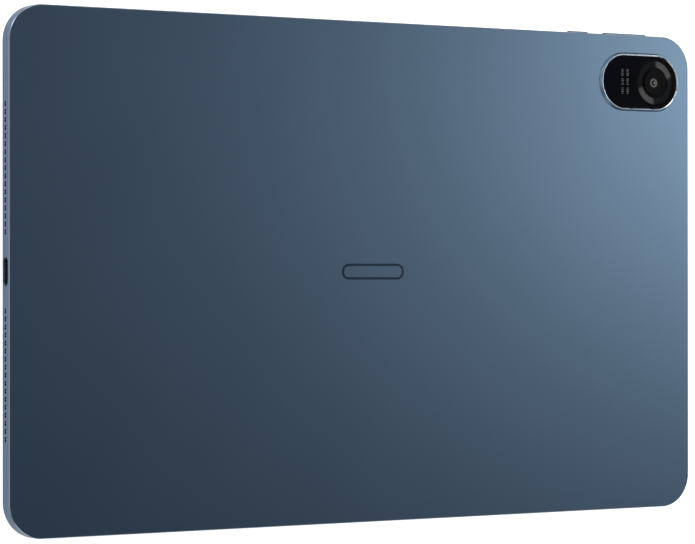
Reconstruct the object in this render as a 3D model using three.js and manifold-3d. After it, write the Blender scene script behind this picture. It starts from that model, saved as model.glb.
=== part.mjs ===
// A 12-inch slate tablet computer in millimetres, lying on its screen.
// X runs along the long side, Y along the short side and Z out of the metal back.
// The origin is the middle of the front glass's outer face, so the floor is z = 0.
import * as THREE from "three";
import { mergeVertices } from "three/addons/utils/BufferGeometryUtils.js";
import Module from "manifold-3d";

const wasm = await Module();
wasm.setup();

// ---------- Driving dimensions ----------

// Whole body, without the camera island and the keys.
const bodyLength = 278.54;
const bodyWidth = 174.06;
const bodyThickness = 6.9;
const cornerRadius = 12;

// Metal rear cover: a shallow tray with a ledge that carries the support plate.
const backWall = 0.9;
const rimWall = 1.4; // side wall beside the display
const ledgeWidth = 0.8; // the side wall is this much thicker above the ledge
const ledgeLevel = 3.0;
const rimLevel = 1.2; // lowest metal above the glass's outer face
const rimRound = 0.7; // rounding of the wall's lower edge
const backChamfer = 0.3;
const cornerSteps = 10;

// Display stack.
const glassThickness = 0.75;
const glassInset = 1.15; // from the body's outline
const glassEdgeRound = 0.45;
const panelThickness = 0.6;
const backlightThickness = 0.95;
const panelMargin = 7.0; // from the body's outline to the display panel's edge
const panelCorner = 3;
const layerGap = 0.1; // adhesive between two layers
const frameLip = 0.3; // plastic lip round the glass
const frameLedge = 2.6; // how far in the plastic frame reaches from the body's outline
const frameLipLevel = 0.35; // lowest plastic above the glass's outer face
const frameLipEdge = 0.2;
const notchGap = 0.5; // round what passes through the support plate
const plateThickness = 0.4;
const plateClearance = 0.15;
const fitGap = 0.05; // between pieces that rest on each other
const slideGap = 0.15; // round a key in its slot and the ring in its hole
const pieceGap = 0.3; // between neighbours that only stand side by side
const edgeRound = 0.4; // corners of small moulded pieces
const lightSides = 16; // facets of the small round pieces

// How far a cutting shape runs past what it cuts, and a joined shape into its neighbour.
const cutPast = 1;
const weld = 0.2;

// Rear camera island: a ring round a pill-shaped glass, with the lens under its right end.
const islandEndMargin = 5.32; // from the body's end to the ring
const islandSideMargin = 6.48; // from the body's upper side to the ring
const islandSpan = 14.5; // between the centres of the two round ends
const ringRadius = 10.7;
const ringHeight = 1.2; // above the back
const ringLip = 1.0;
const ringSeat = 0.9; // width of the step that carries the glass
const ringSkirt = 0.4; // the ring's skirt is this much inside its flange
const ringReach = 1.3; // how far the skirt goes in below the back's outer face
const islandGlassThickness = 0.8;
const islandGlassRecess = 0.15;
const islandGlassChamfer = 0.1;
const ringChamfer = 0.25;
const ringInnerChamfer = 0.15;
const trimOuterRadius = 8.0;
const trimInnerRadius = 5.75;
const trimThickness = 0.3;
const lensRadius = 1.7;
const lensHeight = 0.35;
const lensRim = 0.15; // straight edge below the dome
const lensSeatDepth = 0.3;
const barrelRadius = 4.4;
const cameraSide = 8.8;
const cameraClearance = 0.45; // between the camera and the support plate
const cameraFlexWidth = 4;
const carrierThickness = 0.3;
const carrierInset = 0.7; // the carrier plate is this much inside the ring's skirt

// Emblem: a thin pill-shaped outline let into the middle of the back.
const emblemLength = 25.5;
const emblemHeight = 5.5;
const emblemStroke = 0.8;
const emblemDepth = 0.15;
const emblemThickness = 0.12;

// Socket in the middle of the left-hand wall.
const portSlack = 0.27; // between the socket and the back wall
const portLength = 8.94;
const portHeight = 3.16;
const portWall = 0.3;
const portDepth = 7.3;
const portRecess = 0.4;
const tongueLength = 6.7;
const tongueThickness = 0.7;
const tongueReach = 4.9;
const tongueBase = 1.2;
const tongueTaper = 0.15;

// Speaker grilles: pairs of small holes, four groups.
const grillePitch = 2.6;
const grilleEdge = 0.4; // from a group's end to the end of its speaker box
const grilleHoleRadius = 0.35;
const grilleHoleSides = 6;

// Keys on the long side beside the camera, placed from the body's right-hand end.
const powerKeyFromEnd = 49.27;
const powerKeyLength = 9.0;
const volumeKeyFromEnd = 28.07;
const volumeKeyLength = 19.4;
const keyFromBack = 2.6;
const keyHeight = 2.0;
const keyProud = 0.6;
const keyEdge = 0.2; // rounding of the key's outer edge
const keyShoulder = 1.2; // wall left in front of a key's flange
const keyFlange = 0.4; // flange thickness
const keyFlangeMargin = 0.2; // the flange is this much larger all round
const keyFlangeGap = 0.3; // between the flange and the wall's shoulder
const keyFoot = 0.2;
const footRadius = 0.8;
const volumeSwitchInset = 3.2; // from the bar's end to its switch
const plungerRadius = 0.6;
const plungerLength = 0.6;
const keyTravel = 0.25;
const switchWidth = 3.2;
const switchDepth = 1.0;
const switchHeight = 2.1;
const keyFlexMargin = 4; // the keys' flex runs this far past the last piece on it
const keyFlexBelow = 1.1; // from the keys' middle down to the flex's edge
const keyFlexAbove = 1.3;
const bracketThickness = 0.3;
const bracketFoot = 1.8;
const bracketMargin = 2;

// Inner pieces.
const boardThickness = 0.65;
const bossHeight = 0.8;
const bossRadius = 1.5;
const screwRadius = 0.6;
const screwHeadRadius = 1.1;
const screwHeadHeight = 0.4;
const screwBite = 1.1; // length of screw inside the boss and back wall
const screwInset = 4; // from a board's edges to its screws
const screwSlot = 0.3;
const usbScrewInset = 2.6;
const mainBoardLength = 52.5;
const usbBoardReach = 10; // half of its width
const boardGap = 1.15; // between the main board and the camera island
const shieldClearance = 0.25;
const shieldMargin = 6.25; // from the main board's ends
const shieldSpacing = 12;
const shieldWall = 0.2;
const shieldCorner = 1;
const shieldEdge = 0.15;
const cellMargin = 32.03; // from the body's long sides to the cells
const cellCorner = 2;
const cellEdge = 0.5;
const cellClearance = 0.15; // under the cells
const cellEndGap = 4; // between the two cells, and before the main board
const batteryBoardLength = 72;
const batteryBoardWidth = 4.5;
const batteryBoardThickness = 0.8;
const laneWidth = 3; // of the long flex round the battery
const laneMargin = 1;
const boardLap = 4; // how far a flex lies under a board
const displayFlexBend = 0.95; // from the plastic frame to the flex's turn
const speakerBoxWidth = 19.5;
const speakerBoxCorner = 1.5;
const speakerGap = 1.1;
const speakerIslandGap = 3.05;
const speakerSlotHeight = 1.4;
const speakerSlotDepth = 3;
const driverRadius = 6.6;
const driverThickness = 0.9;
const driverRim = 1.2; // metal rim round the cone
const driverFloor = 0.65; // behind the cone
const driverSides = 20;
const driverEdge = 1.25; // from the box's end to its driver
const driverOffset = 1.6; // from the box's middle, away from the holes
const microphoneFromKey = 20;
const microphoneLength = 3.5;
const microphoneWidth = 1.8;
const microphoneHole = 0.4; // radius
const frontCameraBarrel = 1.3; // radius
const displayFlexWidth = 22;
const displayFlexFromEnd = 47.27;
const antennaLength = 40;
const antennaWidth = 4.5;
const antennaGap = 3;
const antennaWall = 1.2;
const meshThickness = 0.1;
const flexThickness = 0.15;

// ---------- Derived places ----------

const halfLength = bodyLength / 2;
const halfWidth = bodyWidth / 2;
const innerWall = rimWall + ledgeWidth;
const bayFloor = bodyThickness - backWall; // inner face of the back wall
const islandX = halfLength - islandEndMargin - ringRadius - islandSpan / 2;
const islandY = halfWidth - islandSideMargin - ringRadius;
const panelLevel = glassThickness + layerGap;
const backlightLevel = panelLevel + panelThickness + fitGap;
const plateLevel = ledgeLevel - fitGap - plateThickness;
const boardTop = bayFloor - bossHeight - fitGap;
const boardLevel = boardTop - boardThickness;
const ringTop = bodyThickness + ringHeight;
const glassRadius = ringRadius - ringLip - fitGap;
const islandGlassTop = ringTop - islandGlassRecess;
const seatLevel = islandGlassTop - islandGlassThickness - fitGap;
const skirtRadius = ringRadius - ringSkirt;
const lensX = islandX + islandSpan / 2;
const cameraLevel = plateLevel + plateThickness + cameraClearance;
const portLevel = bayFloor - portSlack - portHeight / 2;
const powerKeyX = halfLength - powerKeyFromEnd;
const volumeKeyX = halfLength - volumeKeyFromEnd;
const volumeSwitchOffset = volumeKeyLength / 2 - volumeSwitchInset;
const keyLevel = bodyThickness - keyFromBack;
const flangeDepth = keyShoulder + keyFlangeGap;
const footDepth = flangeDepth + keyFlange + keyFoot;
const plungerDepth = footDepth + fitGap;
const switchFace = plungerDepth + keyTravel + slideGap;
const switchWell = plungerLength - (switchFace - plungerDepth) + keyTravel + fitGap;
const flexDepth = switchFace + switchDepth + fitGap;
const microphoneX = powerKeyX - microphoneFromKey;
const displayFlexX = halfLength - displayFlexFromEnd;

// Speakers fill the short sides between the socket's board and the camera island.
const speakerFoot = usbBoardReach + speakerGap;
const speakerBoxLength = islandY - ringRadius - speakerIslandGap - speakerFoot;
const speakerLevel = ledgeLevel + slideGap;
const grilleLength = speakerBoxLength - 2 * grilleEdge;
const grillePairs = Math.round(grilleLength / grillePitch - 0.49); // whole pairs that fit
const grilleOffset = speakerFoot + speakerBoxLength / 2;
const driverSpacing = speakerBoxLength / 2 - 2 * driverEdge;
const driverFit = Math.min(driverRadius, driverSpacing / 2 - 2 * slideGap);
const driverPlaces = [-driverSpacing / 2, driverSpacing / 2];
const meshX = halfLength - innerWall - fitGap - meshThickness / 2;
const speakerX = meshX - meshThickness / 2 - fitGap - speakerBoxWidth / 2;

// Boards and battery share the length between the speakers.
const speakerInner = speakerX - speakerBoxWidth / 2;
const laneLeft = -speakerInner + laneMargin;
const cellsLeft = laneLeft + laneWidth + laneMargin;
const usbBoard = { left: -halfLength + innerWall + pieceGap, right: cellsLeft - laneMargin / 2 };
const mainTop = islandY - ringRadius - boardGap;
const mainRight = speakerInner - laneMargin;
const mainLeft = mainRight - mainBoardLength;
const mainBoard = { left: mainLeft, right: mainRight, bottom: -mainTop, top: mainTop };
const cellLength = (mainBoard.left - cellsLeft) / 2 - cellEndGap;
const cellWidth = bodyWidth - 2 * cellMargin;
const cellThickness = bayFloor - layerGap - ledgeLevel - cellClearance;
const cellSpacing = cellLength + cellEndGap;
const cellsX = cellsLeft + cellLength + cellEndGap / 2;

// ---------- Shape helpers ----------

// Points of a rounded rectangle, counterclockwise, always the same number of them.
function roundedOutline(length, width, radius, steps) {
  const points = [];
  const round = Math.min(radius, length / 2 - 0.001, width / 2 - 0.001);
  const corners = [
    [1, 1],
    [-1, 1],
    [-1, -1],
    [1, -1],
  ];
  corners.forEach(([sx, sy], corner) => {
    for (let i = 0; i <= steps; i++) {
      const angle = ((corner + i / steps) * Math.PI) / 2;
      points.push(
        new THREE.Vector2(
          sx * (length / 2 - round) + round * Math.cos(angle),
          sy * (width / 2 - round) + round * Math.sin(angle),
        ),
      );
    }
  });
  return points;
}

// A closed solid through outlines of equal point count, each at its own z, lowest first.
function loft(rings) {
  const count = rings[0].points.length;
  const positions = rings.flatMap(({ z, points }) => points.flatMap((p) => [p.x, p.y, z]));
  const index = [];
  for (let r = 0; r + 1 < rings.length; r++) {
    for (let i = 0; i < count; i++) {
      const a = r * count + i;
      const b = r * count + ((i + 1) % count);
      index.push(a, b, b + count, a, b + count, a + count);
    }
  }
  const last = (rings.length - 1) * count;
  for (const [a, b, c] of THREE.ShapeUtils.triangulateShape(rings[0].points, [])) {
    index.push(c, b, a);
  }
  for (const [a, b, c] of THREE.ShapeUtils.triangulateShape(rings.at(-1).points, [])) {
    index.push(last + a, last + b, last + c);
  }
  const geometry = new THREE.BufferGeometry();
  geometry.setAttribute("position", new THREE.Float32BufferAttribute(positions, 3));
  geometry.setIndex(index);
  return geometry;
}

// A rounded slab from its levels, [z, inset] from the lowest up.
function slab(length, width, radius, levels, steps = cornerSteps) {
  return loft(
    levels.map(([z, inset]) => ({
      z,
      points: roundedOutline(
        length - 2 * inset,
        width - 2 * inset,
        Math.max(radius - inset, 0.1),
        steps,
      ),
    })),
  );
}

// The same for the body's own outline.
const bodySlab = (levels) => slab(bodyLength, bodyWidth, cornerRadius, levels);

// Levels of a lower edge that is rounded inwards.
function roundedEdge(level, inset, radius, steps = 3) {
  const levels = [];
  for (let i = 0; i <= steps; i++) {
    const angle = ((i / steps) * Math.PI) / 2;
    levels.push([level + radius * (1 - Math.cos(angle)), inset + radius * (1 - Math.sin(angle))]);
  }
  return levels;
}

// Two levels of a straight-sided slab.
const straight = (z0, z1) => [
  [z0, 0],
  [z1, 0],
];

// A pill, as long as span plus two radii, from z0 to z1.
function pill(span, radius, z0, z1, steps = cornerSteps) {
  return slab(span + 2 * radius, 2 * radius, radius, straight(z0, z1), steps);
}

// A pill-shaped outline of even stroke, widened by grow on both of its edges.
function pillOutline(length, height, stroke, grow, z0, z1) {
  const outer = pill(length - height, height / 2 + grow, z0, z1, 6);
  const hole = height / 2 - stroke - grow;
  const inner = pill(length - height, hole, z0 - cutPast, z1 + cutPast, 6);
  return cut(outer, inner);
}

// A box with its low corner and high corner given.
function boxBetween(low, high) {
  const size = high.map((h, i) => h - low[i]);
  const box = new THREE.BoxGeometry(...size);
  return box.translate(...low.map((l, i) => l + size[i] / 2));
}

// A cylinder along Z from z0 to z1.
function disc(radius, z0, z1, sides = 12) {
  const cylinder = new THREE.CylinderGeometry(radius, radius, z1 - z0, sides);
  return cylinder.rotateX(Math.PI / 2).translate(0, 0, (z0 + z1) / 2);
}

// A flat strip with a straight-edged outline in XY.
function strip(corners, z0, z1) {
  const points = corners.map(([x, y]) => new THREE.Vector2(x, y));
  return loft([
    { z: z0, points },
    { z: z1, points },
  ]);
}

// A manifold-3d solid from a closed geometry.
function solid(geometry) {
  const bare = geometry.clone();
  for (const name of ["normal", "uv"]) bare.deleteAttribute(name);
  const merged = mergeVertices(bare, 1e-4);
  const mesh = new wasm.Mesh({
    numProp: 3,
    vertProperties: merged.attributes.position.array,
    triVerts: new Uint32Array(merged.index.array),
  });
  return new wasm.Manifold(mesh);
}

// A geometry from a manifold-3d solid.
function geometryOf(made) {
  const mesh = made.getMesh();
  const geometry = new THREE.BufferGeometry();
  const positions = new THREE.BufferAttribute(new Float32Array(mesh.vertProperties), 3);
  geometry.setAttribute("position", positions);
  geometry.setIndex(new THREE.BufferAttribute(mesh.triVerts, 1));
  geometry.computeVertexNormals();
  return geometry;
}

const joined = (...parts) => geometryOf(parts.map(solid).reduce((a, b) => a.add(b)));

const cut = (base, ...tools) =>
  geometryOf(tools.map(solid).reduce((a, b) => a.subtract(b), solid(base)));

// Turns a shape built along +Z so that it points out of a wall, and moves it onto that wall.
const onTopWall = (shape, x, z) => shape.rotateX(-Math.PI / 2).translate(x, halfWidth, z);
const onShortWall = (shape, side, y, z) =>
  shape.rotateY((side * Math.PI) / 2).translate(side * halfLength, y, z);

// ---------- Materials ----------

function finish(color, roughness, metalness) {
  return new THREE.MeshStandardMaterial({ color, roughness, metalness });
}

const blueMetal = finish(0x4d6480, 0.35, 0.9);
const ringMetal = finish(0x9db4cc, 0.2, 1.0);
const blackGlass = finish(0x0a0c10, 0.05, 0.0);
const trimMetal = finish(0x3a3c40, 0.3, 0.8);
const lensGlass = finish(0x11131c, 0.02, 0.0);
const blackPlastic = finish(0x17181a, 0.5, 0.0);
const displayLayer = finish(0x22252a, 0.3, 0.0);
const steel = finish(0xa9abad, 0.3, 1.0);
const boardGreen = finish(0x1f3a2c, 0.5, 0.0);
const cellFoil = finish(0x2b2d31, 0.5, 0.2);
const copperFlex = finish(0x8a5a2b, 0.5, 0.2);
const meshWire = finish(0x1b1c1f, 0.8, 0.0);
const emblemInk = finish(0x141c28, 0.3, 0.2);

// ---------- Assembly ----------

const tablet = new THREE.Group();

function add(name, shape, material, x = 0, y = 0, z = 0) {
  const mesh = new THREE.Mesh(shape, material);
  mesh.name = name;
  mesh.position.set(x, y, z);
  tablet.add(mesh);
  return mesh;
}

// Pieces on a wall are built along +Z and turned to point out of it.
function addOnTopWall(name, shape, material, x, z) {
  const mesh = add(name, shape, material, x, halfWidth, z);
  mesh.rotation.x = -Math.PI / 2;
}

function addOnShortWall(name, shape, material, side, y, z) {
  const mesh = add(name, shape, material, side * halfLength, y, z);
  mesh.rotation.y = (side * Math.PI) / 2;
}

// Screw places: two boards stand on bosses of the rear cover.
const flexSide = screwInset + boardLap + laneWidth; // keeps a screw clear of a flex
const mainScrews = [
  [mainBoard.left + screwInset, mainBoard.top - screwInset],
  [mainBoard.right - flexSide, mainBoard.top - screwInset],
  [mainBoard.left + flexSide, mainBoard.bottom + screwInset],
  [mainBoard.right - screwInset, mainBoard.bottom + screwInset],
];
const usbScrews = [
  [usbBoard.left + screwInset, usbBoardReach - usbScrewInset],
  [usbBoard.left + screwInset, -usbBoardReach + usbScrewInset],
];

// Where the speaker holes are along a short side: two of every three places in the pitch.
function grilleHoles() {
  const places = [];
  for (const group of [-grilleOffset, grilleOffset]) {
    for (let i = 0; i < grillePairs; i++) {
      const pair = group + (i - (grillePairs - 1) / 2) * grillePitch;
      places.push(pair - grillePitch / 6, pair + grillePitch / 6);
    }
  }
  return places;
}

// --- Rear cover ---

function rearCover() {
  const outside = bodySlab([
    ...roundedEdge(rimLevel, 0, rimRound),
    [bodyThickness - backChamfer, 0],
    [bodyThickness, backChamfer],
  ]);
  const displayBay = bodySlab([
    [rimLevel - cutPast, rimWall],
    [ledgeLevel, rimWall],
  ]);
  const innerBay = bodySlab([
    [ledgeLevel - cutPast, innerWall],
    [bayFloor, innerWall],
  ]);
  const tools = [displayBay, innerBay];
  const through = innerWall + cutPast;

  // Groove for the emblem.
  const floor = bodyThickness - emblemDepth;
  const above = bodyThickness + cutPast;
  tools.push(pillOutline(emblemLength, emblemHeight, emblemStroke, fitGap, floor, above));

  // Camera opening.
  const opening = pill(islandSpan, skirtRadius + slideGap, bayFloor - cutPast, above);
  tools.push(opening.translate(islandX, islandY, 0));

  // Speaker holes in both short walls.
  for (const side of [-1, 1]) {
    for (const y of grilleHoles()) {
      const hole = disc(grilleHoleRadius, -through, cutPast, grilleHoleSides);
      tools.push(onShortWall(hole, side, y, portLevel));
    }
  }

  // Socket opening.
  const portHole = slab(
    portHeight + 2 * slideGap,
    portLength + 2 * slideGap,
    portHeight / 2 + slideGap,
    straight(-through, cutPast),
    6,
  );
  tools.push(onShortWall(portHole, -1, 0, portLevel));

  // Key slots, with a wider pocket behind for each key's flange.
  for (const [x, length] of [
    [powerKeyX, powerKeyLength],
    [volumeKeyX, volumeKeyLength],
  ]) {
    const slotRadius = keyHeight / 2 + slideGap;
    const slot = pill(length - keyHeight, slotRadius, -through, cutPast, 4);
    const pocketRadius = slotRadius + keyFlangeMargin;
    const pocket = pill(length - keyHeight, pocketRadius, -through, -keyShoulder, 4);
    tools.push(onTopWall(slot, x, keyLevel), onTopWall(pocket, x, keyLevel));
  }

  // Microphone hole.
  const soundHole = disc(microphoneHole, -through, cutPast, 8);
  tools.push(onTopWall(soundHole, microphoneX, portLevel));

  const tray = cut(outside, ...tools);
  const screws = [...mainScrews, ...usbScrews];
  const bossFoot = bayFloor - bossHeight;
  const bosses = screws.map(([x, y]) =>
    disc(bossRadius, bossFoot, bayFloor + weld).translate(x, y, 0),
  );
  const holeEnd = boardTop + screwBite + slideGap;
  const threads = screws.map(([x, y]) =>
    disc(screwRadius + slideGap, bossFoot - cutPast, holeEnd).translate(x, y, 0),
  );
  return cut(joined(tray, ...bosses), ...threads);
}

add("rear_cover", rearCover(), blueMetal);

const emblemTop = bodyThickness - emblemDepth + fitGap / 2 + emblemThickness;
const emblem = pillOutline(
  emblemLength,
  emblemHeight,
  emblemStroke,
  0,
  emblemTop - emblemThickness,
  emblemTop,
);
add("back_emblem", emblem, emblemInk);

// --- Camera island ---

function cameraRing() {
  const outer = (radius, levels) => slab(islandSpan + 2 * radius, 2 * radius, radius, levels);
  const flange = outer(ringRadius, [
    [bodyThickness + fitGap, 0],
    [ringTop - ringChamfer, 0],
    [ringTop, ringChamfer],
  ]);
  const skirt = pill(islandSpan, skirtRadius, bodyThickness - ringReach, bodyThickness + weld);
  const glassPocket = outer(ringRadius - ringLip, [
    [seatLevel, 0],
    [ringTop - ringInnerChamfer, 0],
    [ringTop + ringInnerChamfer, -2 * ringInnerChamfer],
  ]);
  const window = pill(
    islandSpan,
    ringRadius - ringLip - ringSeat,
    bodyThickness - ringReach - cutPast,
    ringTop,
  );
  return cut(joined(flange, skirt), glassPocket, window);
}

add("camera_ring", cameraRing(), ringMetal, islandX, islandY);

const islandGlass = slab(islandSpan + 2 * glassRadius, 2 * glassRadius, glassRadius, [
  [0, 0],
  [islandGlassThickness - islandGlassChamfer, 0],
  [islandGlassThickness, islandGlassChamfer],
]);
add("camera_glass", islandGlass, blackGlass, islandX, islandY, seatLevel + fitGap);

const trimLevel = seatLevel - trimThickness;
const trimRing = cut(
  disc(trimOuterRadius, 0, trimThickness, 32),
  disc(trimInnerRadius, -cutPast, trimThickness + cutPast, 32),
);
add("camera_trim_ring", trimRing, trimMetal, lensX, islandY, trimLevel);

// The camera hangs from a carrier plate glued under the ring, with its barrel under the glass.
const carrierTop = bodyThickness - ringReach - fitGap;
const barrelTop = trimLevel;
const carrierRadius = skirtRadius - carrierInset;
const carrier = pill(islandSpan, carrierRadius, carrierTop - carrierThickness, carrierTop);
const cameraBody = joined(
  carrier.translate(-islandSpan / 2, 0, 0),
  slab(cameraSide, cameraSide, edgeRound, straight(cameraLevel, carrierTop), 3),
  disc(barrelRadius, carrierTop - carrierThickness, barrelTop, 24),
);
const lensFloor = barrelTop - lensSeatDepth;
const lensSeat = disc(lensRadius + fitGap, lensFloor, barrelTop + cutPast, lightSides);
add("camera_module", cut(cameraBody, lensSeat), blackPlastic, lensX, islandY);

function lensDome() {
  const profile = [new THREE.Vector2(0, 0), new THREE.Vector2(lensRadius, 0)];
  const steps = 4;
  for (let i = 0; i <= steps; i++) {
    const angle = ((i / steps) * Math.PI) / 2;
    profile.push(
      new THREE.Vector2(
        i === steps ? 0 : lensRadius * Math.cos(angle),
        lensRim + (lensHeight - lensRim) * Math.sin(angle),
      ),
    );
  }
  return geometryOf(solid(new THREE.LatheGeometry(profile, lightSides).rotateX(Math.PI / 2)));
}

add("camera_lens", lensDome(), lensGlass, lensX, islandY, lensFloor + fitGap);

const cameraFlexLevel = boardLevel - fitGap - flexThickness;
const cameraEdge = lensX - cameraSide / 2 - fitGap;
const cameraFlexLeft = mainBoard.right - cameraFlexWidth - laneMargin;
const cameraFlex = strip(
  [
    [cameraEdge, islandY + cameraFlexWidth / 2],
    [cameraFlexLeft, islandY + cameraFlexWidth / 2],
    [cameraFlexLeft, mainBoard.top - boardLap],
    [cameraFlexLeft + cameraFlexWidth, mainBoard.top - boardLap],
    [cameraFlexLeft + cameraFlexWidth, islandY - cameraFlexWidth / 2],
    [cameraEdge, islandY - cameraFlexWidth / 2],
  ],
  0,
  flexThickness,
);
add("camera_flex", cameraFlex, copperFlex, 0, 0, cameraFlexLevel);

// --- Display ---

const frontGlass = bodySlab([
  ...roundedEdge(0, glassInset, glassEdgeRound),
  [glassThickness, glassInset],
]);
add("front_glass", frontGlass, blackGlass);

function displayFrame() {
  const outerInset = glassInset - layerGap - frameLip;
  const lipTop = rimLevel - fitGap;
  const body = bodySlab([
    [frameLipLevel, outerInset + frameLipEdge],
    [frameLipLevel + frameLipEdge, outerInset],
    [lipTop, outerInset],
    [lipTop, rimWall + layerGap],
    [plateLevel - fitGap, rimWall + layerGap],
  ]);
  const glassPocket = bodySlab([
    [-cutPast, glassInset - layerGap],
    [glassThickness + fitGap, glassInset - layerGap],
  ]);
  const window = bodySlab([
    [-cutPast, frameLedge],
    [plateLevel + cutPast, frameLedge],
  ]);
  return cut(body, glassPocket, window);
}

add("display_frame", displayFrame(), blackPlastic);

const panelLength = bodyLength - 2 * panelMargin;
const panelWidth = bodyWidth - 2 * panelMargin;
const panelLayer = (thickness) =>
  slab(panelLength, panelWidth, panelCorner, straight(0, thickness), 4);
add("lcd_panel", panelLayer(panelThickness), displayLayer, 0, 0, panelLevel);
add("backlight_unit", panelLayer(backlightThickness), steel, 0, 0, backlightLevel);

const frontCameraY = halfWidth - (frameLedge + panelMargin) / 2;
const frontCameraSide = panelMargin - frameLedge - 2 * pieceGap;
const frontCameraLevel = panelLevel + slideGap;
const frontCameraLevels = straight(frontCameraLevel, ledgeLevel + pieceGap);
const frontCamera = joined(
  slab(frontCameraSide, frontCameraSide, edgeRound, frontCameraLevels, 3),
  disc(frontCameraBarrel, glassThickness + fitGap, frontCameraLevel + weld, lightSides),
);
add("front_camera", frontCamera, blackPlastic, 0, frontCameraY);

function supportPlate() {
  const plate = bodySlab([
    [plateLevel, rimWall + plateClearance],
    [plateLevel + plateThickness, rimWall + plateClearance],
  ]);
  const low = plateLevel - cutPast;
  const high = ledgeLevel + cutPast;
  const portNotch = boxBetween(
    [-halfLength, -portLength / 2 - notchGap, low],
    [-halfLength + portRecess + portDepth + notchGap, portLength / 2 + notchGap, high],
  );
  const cameraReach = frontCameraSide / 2 + pieceGap;
  const cameraHole = boxBetween(
    [-cameraReach, frontCameraY - cameraReach, low],
    [cameraReach, frontCameraY + cameraReach, high],
  );
  const flexReach = displayFlexWidth / 2 + notchGap;
  const flexNotch = boxBetween(
    [displayFlexX - flexReach, -halfWidth, low],
    [displayFlexX + flexReach, -halfWidth + panelMargin, high],
  );
  return cut(plate, portNotch, cameraHole, flexNotch);
}

add("support_plate", supportPlate(), steel);

// The outline of a thin ribbon that follows square turns, thickened to its left.
function ribbon(path, thickness) {
  const origin = new THREE.Vector2();
  const leftOf = (from, to) =>
    to.clone().sub(from).normalize().rotateAround(origin, Math.PI / 2);
  const shifted = path.map((point, i) => {
    const sides = [];
    if (i > 0) sides.push(leftOf(path[i - 1], point));
    if (i + 1 < path.length) sides.push(leftOf(point, path[i + 1]));
    return sides.reduce((p, side) => p.addScaledVector(side, thickness), point.clone());
  });
  return [...path, ...shifted.reverse()];
}

// The display's flex leaves the panel's edge, turns up past the plate and ends at the main board.
function displayFlex() {
  const turn = -halfWidth + frameLedge + displayFlexBend;
  const crossing = ledgeLevel + 2 * flexThickness;
  const end = mainBoard.bottom + boardLap;
  const path = [
    [-panelWidth / 2 - fitGap, panelLevel + layerGap + flexThickness],
    [turn, panelLevel + layerGap + flexThickness],
    [turn, crossing],
    [end, crossing],
    [end, boardLevel - fitGap],
  ].map(([y, z]) => new THREE.Vector2(y, z));
  const outline = new THREE.Shape(ribbon(path, flexThickness));
  const extruded = new THREE.ExtrudeGeometry(outline, {
    depth: displayFlexWidth,
    bevelEnabled: false,
  });
  // Shape x, y and depth become Y, Z and X.
  return extruded
    .rotateX(Math.PI / 2)
    .rotateZ(Math.PI / 2)
    .translate(-displayFlexWidth / 2, 0, 0);
}

add("display_flex", geometryOf(solid(displayFlex())), copperFlex, displayFlexX);

// --- Keys, plungers and switches ---

// A key: its bar stands out of the wall, its flange is held behind the wall's shoulder.
function keyShape(length, feet) {
  const span = length - keyHeight;
  const bar = slab(
    length,
    keyHeight,
    keyHeight / 2,
    [
      [-flangeDepth - weld, 0],
      [keyProud - keyEdge, 0],
      [keyProud, keyEdge],
    ],
    4,
  );
  const flange = pill(
    span,
    keyHeight / 2 + keyFlangeMargin,
    -flangeDepth - keyFlange,
    -flangeDepth,
    4,
  );
  const pads = feet.map((x) => disc(footRadius, -footDepth, -flangeDepth - weld).translate(x, 0, 0));
  return joined(bar, flange, ...pads);
}

addOnTopWall("power_key", keyShape(powerKeyLength, [0]), blueMetal, powerKeyX, keyLevel);
addOnTopWall(
  "volume_key",
  keyShape(volumeKeyLength, [-volumeSwitchOffset, volumeSwitchOffset]),
  blueMetal,
  volumeKeyX,
  keyLevel,
);

const switches = [
  ["power", powerKeyX],
  ["volume_up", volumeKeyX - volumeSwitchOffset],
  ["volume_down", volumeKeyX + volumeSwitchOffset],
];
for (const [name, x] of switches) {
  const plunger = disc(plungerRadius, -plungerDepth - plungerLength, -plungerDepth);
  addOnTopWall(name + "_plunger", plunger, blackPlastic, x, keyLevel);
  const body = boxBetween(
    [-switchWidth / 2, -switchHeight / 2, -switchFace - switchDepth],
    [switchWidth / 2, switchHeight / 2, -switchFace],
  );
  const well = disc(plungerRadius + slideGap, -switchFace - switchWell, 0);
  addOnTopWall(name + "_switch", cut(body, well), steel, x, keyLevel);
}

const flexLeft = microphoneX - keyFlexMargin;
const flexRight = volumeKeyX + volumeKeyLength / 2 + keyFlexMargin;
const keyFlex = boxBetween(
  [flexLeft, halfWidth - flexDepth - flexThickness, keyLevel - keyFlexBelow],
  [flexRight, halfWidth - flexDepth, keyLevel + keyFlexAbove],
);
add("key_flex", keyFlex, copperFlex);

// The bracket backs the flex and is glued to the back wall by its foot.
function keyBracket() {
  const front = halfWidth - flexDepth - flexThickness - fitGap;
  const left = powerKeyX - powerKeyLength / 2 - bracketMargin;
  const top = bayFloor - fitGap;
  const upright = boxBetween(
    [left, front - bracketThickness, keyLevel - keyFlexBelow],
    [flexRight, front, top],
  );
  const foot = boxBetween(
    [left, front - bracketFoot, top - bracketThickness],
    [flexRight, front - bracketThickness / 2, top],
  );
  return joined(upright, foot);
}

add("key_bracket", keyBracket(), steel);

const microphone = boxBetween(
  [-microphoneLength / 2, -microphoneWidth / 2, -flexDepth + fitGap],
  [microphoneLength / 2, microphoneWidth / 2, -innerWall - slideGap],
);
addOnTopWall("microphone", microphone, steel, microphoneX, portLevel);

// --- Socket and boards ---

function usbShell() {
  const levels = (start, end, inset) => [
    [start, inset],
    [end, inset],
  ];
  const sleeve = (inset, start, end) =>
    slab(portHeight, portLength, portHeight / 2, levels(start, end, inset), 6);
  return cut(
    sleeve(0, -portRecess - portDepth, -portRecess),
    sleeve(portWall, -portRecess - portDepth + portWall, 0),
  );
}

addOnShortWall("usb_port", usbShell(), steel, -1, 0, portLevel);

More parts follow.
